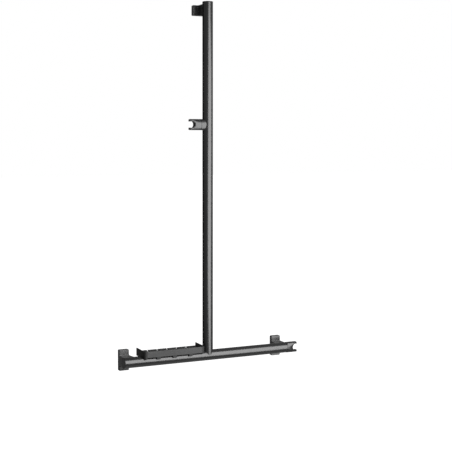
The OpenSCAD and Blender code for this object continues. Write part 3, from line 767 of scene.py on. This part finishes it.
@dataclass
class Holder:
    """A holder for a hand shower: an oval barrel that opens at its end into a slotted conical hole."""

    finishes: Finishes
    name: str
    node: str
    body: Body
    joint: float
    side: int
    height: float
    standoff: float = 50.0
    length: float = 35.6
    section_h: float = 33.4
    section_t: float = 26.0
    arc_r: float = 26.0
    tip_t: float = 14.0
    tip_corner: float = 2.5
    hole_s: float = 29.6
    cone_front: float = 10.2
    cone_back: float = 11.2
    lip_gap: float = 15.8
    lip_r: float = 2.0
    pivot: float = 8.06
    recess: float = 4.3
    shank: float = 3.06
    counter: float = 5.4
    counter_s: float = 12.0

    def place(self, s: float, y: float, z: float) -> Point3:
        """A point from its distance beyond the joint and its place across the barrel."""
        return (self.joint + self.side * s, y - self.standoff, z + self.height)

    def oval(self, half_t: float, half_h: float, count: int = 120) -> list[Point2]:
        """The barrel's section, cut to a half thickness and a half height.

        Args:
            half_t: Half of the depth that is left.
            half_h: Half of the height that is left.
            count: How many points the outline has.

        Returns:
            The points, front and back first and height second.
        """
        shift = self.arc_r - self.section_t / 2
        out = []
        for i in range(count):
            t = 2 * math.pi * i / count
            c, s = abs(math.cos(t)), abs(math.sin(t))
            reach = self.section_h / 2
            reach = min(reach, -c * shift + math.sqrt(self.arc_r**2 - (s * shift) ** 2))
            if c > 1e-9:
                reach = min(reach, half_t / c)
            if s > 1e-9:
                reach = min(reach, half_h / s)
            out.append((reach * math.cos(t), reach * math.sin(t)))
        return out

    def barrel(self) -> bpy.types.Object:
        """The barrel's outside, narrowing to its tips."""
        drop = (self.section_t - self.tip_t) / 2
        sweep = (self.length**2 + drop**2) / (2 * drop)
        stations = [0.0, 0.25] + [self.length * i / 30 for i in range(1, 27)]
        corner = self.length - self.tip_corner
        stations += [corner + self.tip_corner * math.sin(math.radians(a)) for a in range(0, 91, 15)]
        stations = sorted(set(round(s, 4) for s in stations))
        rings = []
        for s in stations:
            half_t = self.section_t / 2 - (sweep - math.sqrt(sweep**2 - s * s))
            over = max(s - corner, 0.0)
            half_h = self.section_h / 2 - self.tip_corner + math.sqrt(self.tip_corner**2 - min(over, self.tip_corner) ** 2)
            rings.append([self.place(s, y, z) for y, z in self.oval(half_t, half_h)])
        return Shop.loft(self.name, rings)

    def cutters(self) -> list[bpy.types.Object]:
        """What is cut from the barrel: the conical hole, the mouth, the pivot's recess and the screw's way."""
        deep = self.section_t / 2 + 1
        turns = [2 * math.pi * i / 96 for i in range(96)]
        slope = (self.cone_back - self.cone_front) / self.section_t
        rings = []
        for y in (-deep, deep):
            radius = self.cone_front + slope * (y + self.section_t / 2)
            rings.append([self.place(self.hole_s + radius * math.cos(t), y, radius * math.sin(t)) for t in turns])
        cone = Shop.loft("cone", rings)
        half, tip = self.lip_gap / 2, self.length
        outline = [(self.hole_s, -half), (tip - self.lip_r, -half)]
        outline += arc(tip - self.lip_r, -half - self.lip_r, self.lip_r, 90, 0, 6)[1:]
        outline += [(tip + 1, -half - self.lip_r), (tip + 1, half + self.lip_r)]
        outline += arc(tip - self.lip_r, half + self.lip_r, self.lip_r, 0, -90, 6)[:-1]
        outline += [(tip - self.lip_r, half), (self.hole_s, half)]
        mouth = Shop.loft("mouth", [[self.place(s, y, z) for s, z in outline] for y in (-deep, deep)])
        bores = []
        for start, end, radius in ((-1.0, self.recess, self.pivot), (0.0, self.hole_s, self.shank),
                                   (self.counter_s, self.hole_s, self.counter)):
            rings = [[self.place(s, radius * math.cos(t), radius * math.sin(t)) for t in turns]
                     for s in (start, end)]
            bores.append(Shop.loft("bore", rings))
        return [cone, mouth, *bores]

    def build(self) -> None:
        """Builds the socket, softens its edges and dresses it."""
        piece = Shop.combine(self.barrel(), self.cutters(), "DIFFERENCE")
        remesh = piece.modifiers.new("even", "REMESH")
        remesh.mode = "VOXEL"
        remesh.voxel_size = 0.34 * MM
        smooth = piece.modifiers.new("soften", "SMOOTH")
        smooth.factor = 0.5
        smooth.iterations = 8
        Shop.settle(piece)
        piece.data.shade_smooth()
        hand_over(piece, self.finishes.socket, Slot.PLASTIC, self.body, self.node)


@dataclass
class SliderBase:
    """The fixed half of the sliding holder, coped to the upright."""

    finishes: Finishes
    holder: Holder
    rail: float = 16.3
    face: float = 24.7
    pivot: float = 8.0
    pivot_len: float = 4.0
    soft: float = 0.5

    def ring(self, x: float, inset: float) -> Ring:
        """A ring of the oval section at a distance in front of the rail's axis."""
        h = self.holder
        share = 1 - inset / 13.0
        return [(-x, y * share - h.standoff, z * share + h.height) for y, z in h.oval(99.0, 99.0, 144)]

    def build(self) -> None:
        """Builds and dresses the base with its pivot and the parts in it."""
        h = self.holder
        cope = []
        for y, z in h.oval(99.0, 99.0, 144):
            cope.append((-math.sqrt(self.rail**2 - y * y), y - h.standoff, z + h.height))
        rings = [cope]
        for share in (0.06, 0.5):
            rings.append([(a[0] + (-self.face + self.soft - a[0]) * share, a[1], a[2]) for a in cope])
        for along, inset in arc(self.face - self.soft, 0, self.soft, 0, 90, 4)[::-1]:
            rings.append(self.ring(along, self.soft - inset if inset else self.soft))
        rings = rings[:3] + sorted(rings[3:], key=lambda r: -r[0][0])
        turns = [2 * math.pi * i / 144 for i in range(144)]
        for x, radius in ((self.face, self.pivot), (self.face + self.pivot_len - 0.4, self.pivot),
                          (self.face + self.pivot_len, self.pivot - 0.4)):
            rings.append([(-x, radius * math.cos(t) - h.standoff, radius * math.sin(t) + h.height)
                          for t in turns])
        piece = Shop.loft("slider_body", rings)
        f = self.finishes
        hand_over(Shop.shade(piece), f.socket, Slot.METAL, Body.SLIDER, "slider_base")
        dress_node("slider_glide_pad", f.slip)
        dress_node("slider_t_nut", f.zinc)
        for prefix in ("slider", "end"):
            dress_node(f"{prefix}_axle_screw", f.thread_x)
            dress_node(f"{prefix}_disc_springs", f.steel)
            dress_node(f"{prefix}_friction_ring", f.slip)


@dataclass
class Shelf:
    """The clip-on shelf: a folded tray, two side pieces and the hooks under its front."""

    finishes: Finishes
    x0: float = -215.0
    x1: float = -17.5
    y0: float = -70.5
    y1: float = -2.0
    wall: float = 3.0
    floor: float = 18.2
    floor_t: float = 2.2
    top: float = 31.5
    skirt: float = 12.5
    back_lip: float = 2.0
    side_return: float = 10.0
    corner: float = 8.0
    left_foot: float = 8.5
    rail: float = 16.02
    standoff: float = 50.0
    hooks: tuple[float, ...] = (-168.25, -116.25, -64.25)
    hook_w: float = 12.0
    hook_low: float = 5.5
    drain_count: int = 5
    drain_w: float = 4.0
    drain_l: float = 26.0

    def tray(self) -> bpy.types.Object:
        """The tray: front, floor and rear lip, with drain slots."""
        front0, front1 = self.x0 + self.side_return + 0.3, self.x1 - self.side_return - 0.3
        inner0, inner1 = self.x0 + self.wall + 0.1, self.x1 - self.wall - 0.1
        up = self.floor + self.floor_t
        section = rounded_corners([
            (self.y0, self.skirt, 0.5), (self.y0 + self.wall, self.skirt, 0.5),
            (self.y0 + self.wall, self.floor, 0.0), (self.y1, self.floor, 0.4),
            (self.y1, up + self.back_lip, 0.5), (self.y1 - self.floor_t, up + self.back_lip, 0.5),
            (self.y1 - self.floor_t, up, 0.6), (self.y0 + self.wall, up, 1.2),
            (self.y0 + self.wall, self.top, 1.4), (self.y0, self.top, 1.4)])
        piece = Shop.extrude("shelf_tray_body", [section], front0, front1, 0.25, lambda y, z, x: (x, y, z))
        radius, front = self.corner - self.wall, self.y0 + self.wall + 0.1
        floor = rounded_corners([(inner0, front, radius), (inner1, front, radius),
                                 (inner1, self.y1, 0.3), (inner0, self.y1, 0.3)], 8)
        plate = Shop.extrude("floor", [floor], self.floor, up, 0.2, lambda x, y, z: (x, y, z))
        lip = Shop.extrude("lip", [rounded_box(inner0, inner1, self.y1 - self.floor_t, self.y1, 0.4, 3)],
                           self.floor, up + self.back_lip, 0.3, lambda x, y, z: (x, y, z))
        Shop.combine(piece, [plate, lip], "UNION")
        pitch = (inner1 - inner0) / (self.drain_count + 1)
        middle = (self.y0 + self.y1) / 2 + 4
        slots = []
        for i in range(1, self.drain_count + 1):
            for side in (-1, 1):
                x, y = inner0 + i * pitch, middle + side * 20.0
                reach, half = (self.drain_l - self.drain_w) / 2, self.drain_w / 2
                outline = arc(x, y + reach, half, 0, 180, 12) + arc(x, y - reach, half, 180, 360, 12)
                slots.append(Shop.loft("drain", [[(a, b, z) for a, b in outline] for z in (self.floor - 1, up + 1)]))
        for x, y in self.screw_places():
            turns = [2 * math.pi * k / 32 for k in range(32)]
            rings = [[(x + r * math.cos(t), y + r * math.sin(t), z) for t in turns]
                     for r, z in ((2.05, self.floor - 1), (2.05, up - 1.7), (3.65, up), (3.65, up + 1))]
            slots.append(Shop.loft("screw_hole", rings))
        return Shop.combine(piece, slots, "DIFFERENCE")

    def screw_places(self) -> list[Point2]:
        """Where the shelf's screws stand."""
        ledge_y = (-30.0 + self.y1 - self.wall) / 2
        places = [(x, self.y0 + self.wall + 4.0) for x in self.hooks]
        return places + [(self.x0 + self.wall + 4.5, ledge_y), (self.x1 - self.wall - 4.5, ledge_y)]

    def side(self, name: str, node: str, hand: int, foot: float) -> bpy.types.Object:
        """A side piece with its front return, its ledge and the notch for the rail.

        Args:
            name: The piece's name.
            node: The node that it stands for.
            hand: 1 for the left piece, -1 for the right one.
            foot: The height of its lower edge.

        Returns:
            The piece.
        """
        start = self.x0 if hand > 0 else self.x1
        outline = [(self.wall, self.y1), (0.0, self.y1)]
        outline += arc(self.corner, self.y0 + self.corner, self.corner, 180, 270, 12)
        outline += [(self.side_return, self.y0), (self.side_return, self.y0 + self.wall)]
        outline += arc(self.corner, self.y0 + self.corner, self.corner - self.wall, 270, 180, 12)
        piece = Shop.extrude(name, [outline], foot, self.top + 0.5, 0.45,
                             lambda x, y, z: (start + hand * x, y, z))
        ledge = Shop.extrude("ledge", [rounded_box(self.wall - 1, self.wall + 9, -30.0, self.y1 - self.wall, 1.0, 3)],
                             self.floor - 5.2, self.floor, 0.3, lambda x, y, z: (start + hand * x, y, z))
        Shop.combine(piece, [ledge], "UNION")
        turns = [2 * math.pi * k / 128 for k in range(128)]
        notch = Shop.loft("notch", [[(start + hand * x, self.rail * math.cos(t) - self.standoff,
                                      self.rail * math.sin(t)) for t in turns] for x in (-2.0, 14.0)])
        below = Shop.loft("below", [[(start + hand * x, y, z) for y, z in (
            (-self.standoff - self.rail, -self.rail), (-self.standoff + self.rail, -self.rail),
            (-self.standoff + self.rail, 0.0), (-self.standoff - self.rail, 0.0))] for x in (-2.0, 14.0)])
        Shop.combine(piece, [notch, below], "DIFFERENCE")
        # Dressed in the darker copy of the shelf plastic, which paints shade on the side piece.
        return hand_over(Shop.shade(piece), self.finishes.side, Slot.PLASTIC, Body.BAR, node)

    def hook(self, name: str, node: str, x: float) -> bpy.types.Object:
        """A hook: a strip over the rail, a block that carries the shelf and a lip below it."""
        fit, strip = self.rail, self.rail - 0.02 + 2.2
        block0, lip0 = self.y0 + self.wall + 0.3, self.y0 + 1.0
        lip_top = self.skirt - 0.3
        low_y = -self.standoff - math.sqrt(fit * fit - self.hook_low**2)
        back = math.degrees(math.acos(11.0 / strip))
        start = math.degrees(math.asin(self.hook_low / fit))
        under = arc(-self.standoff, 0, fit, 180 - start, back, 40)
        over = arc(-self.standoff, 0, strip, back, 100, 24)
        outline = [(y, z, 0.0) for y, z in under]
        outline += [(y, z, 0.0) for y, z in over]
        outline += [(block0 + 7.5, self.floor, 0.0), (block0, self.floor, 0.6), (block0, lip_top, 0.0),
                    (lip0, lip_top, 0.5), (lip0, self.hook_low, 2.0)]
        if low_y < lip0 + 2.5:
            raise ValueError("the hook's lip has no room in front of the rail")
        section = rounded_corners(outline, 5)
        piece = Shop.extrude(name, [section], x - self.hook_w / 2, x + self.hook_w / 2, 0.4,
                             lambda y, z, along: (along, y, z))
        # Dressed in the darker copy of the shelf plastic, which paints shade on the hook under the shelf.
        return hand_over(Shop.shade(piece), self.finishes.side, Slot.PLASTIC, Body.BAR, node)

    def build(self) -> None:
        """Builds and dresses the shelf."""
        hand_over(Shop.shade(self.tray()), self.finishes.shelf, Slot.PLASTIC, Body.BAR, "shelf_tray")
        self.side("shelf_left_end", "shelf_side_left", 1, self.left_foot)
        self.side("shelf_right_end", "shelf_side_right", -1, self.skirt)
        for word, x in zip(("left", "middle", "right"), self.hooks):
            self.hook(f"{word}_hook", f"shelf_hook_{word}", x)
        dress_node("shelf_screws", self.finishes.thread_z)


# Studio


@dataclass(frozen=True)
class Softbox:
    """A soft lamp that faces a point."""

    name: str
    at: Point3
    look: Point3
    width: float
    height: float
    power: float

    def make(self) -> None:
        """Hangs the lamp."""
        light = bpy.data.lights.new(self.name, "AREA")
        light.shape = "RECTANGLE"
        light.size, light.size_y = self.width, self.height
        light.energy = self.power
        lamp = bpy.data.objects.new(self.name, light)
        bpy.context.scene.collection.objects.link(lamp)
        lamp.location = self.at
        lamp.rotation_euler = (Vector(self.look) - Vector(self.at)).to_track_quat("-Z", "Z").to_euler()
        lamp.visible_camera = False


@dataclass
class Studio:
    """A plain pale floor, soft light and the camera."""

    camera_at: Point3 = (-1.25938, -2.79880, 0.65775)
    yaw: float = 24.636
    pitch: float = 2.64
    lens: float = 79.27
    shift: Point2 = (0.0398, -0.0885)
    floor_z: float = -1.0
    ambient: float = 0.22

    def camera(self) -> None:
        """Sets the camera up."""
        data = bpy.data.cameras.new("view")
        data.sensor_width = 36.0
        data.lens = self.lens
        data.shift_x, data.shift_y = self.shift
        data.clip_end = 100.0
        eye = bpy.data.objects.new("view", data)
        bpy.context.scene.collection.objects.link(eye)
        eye.location = self.camera_at
        eye.rotation_euler = (math.radians(90 - self.pitch), 0, math.radians(-self.yaw))
        bpy.context.scene.camera = eye

    def floor(self) -> None:
        """Lays a pale floor that the camera sees as white."""
        bm = bmesh.new()
        bmesh.ops.create_grid(bm, x_segments=1, y_segments=1, size=40)
        for v in bm.verts:
            v.co.z = self.floor_z
        piece = Shop.from_bmesh("studio_floor", bm)
        sheet = Sheet("pale_floor")
        sheet.shader.inputs["Base Color"].default_value = (0.7, 0.7, 0.7, 1)
        sheet.shader.inputs["Roughness"].default_value = 0.9
        sheet.shader.inputs["Emission Color"].default_value = (1, 1, 1, 1)
        path = sheet.add("ShaderNodeLightPath")
        sheet.link(path.outputs["Is Camera Ray"], sheet.shader.inputs["Emission Strength"])
        dress(piece, sheet.material)

    def world(self) -> None:
        """Surrounds the part with white for the camera and a low grey for everything else."""
        world = bpy.data.worlds.new("studio")
        world.use_nodes = True
        tree = world.node_tree
        tree.nodes.clear()
        out = tree.nodes.new("ShaderNodeOutputWorld")
        mix = tree.nodes.new("ShaderNodeMixShader")
        path = tree.nodes.new("ShaderNodeLightPath")
        dim = tree.nodes.new("ShaderNodeBackground")
        dim.inputs["Color"].default_value = (self.ambient, self.ambient, self.ambient, 1)
        bright = tree.nodes.new("ShaderNodeBackground")
        bright.inputs["Color"].default_value = (1, 1, 1, 1)
        tree.links.new(path.outputs["Is Camera Ray"], mix.inputs[0])
        tree.links.new(dim.outputs[0], mix.inputs[1])
        tree.links.new(bright.outputs[0], mix.inputs[2])
        tree.links.new(mix.outputs[0], out.inputs[0])
        bpy.context.scene.world = world

    def build(self) -> None:
        """Sets up the studio."""
        self.camera()
        self.floor()
        self.world()
        bpy.context.scene.view_settings.view_transform = "Standard"
        Softbox("front_panel", (0.337, -0.935, 0.5), (0.0, -0.05, 0.5), 1.26, 1.4, 25.0).make()


def main() -> None:
    """Builds the studio and the part, sub-assembly by sub-assembly."""
    logging.basicConfig(level=logging.INFO, format="%(message)s")
    Studio().build()
    finishes = Finishes()
    Rails(finishes).build()
    for side in Side:
        Bracket(finishes, side).build()
    dress_node("neck_screws", finishes.thread_y)
    dress_node("foot_screws", finishes.thread_z)
    slider = Holder(finishes, "slider_holder", "slider_socket", Body.SLIDER_SOCKET, -25.1, -1, 704.5)
    slider.build()
    Holder(finishes, "end_holder", "end_socket", Body.END_SOCKET, 273.65, 1, 0.0).build()
    SliderBase(finishes, slider).build()
    Shelf(finishes).build()
    LOG.info("sizes written")


if __name__ == "__main__":
    main()
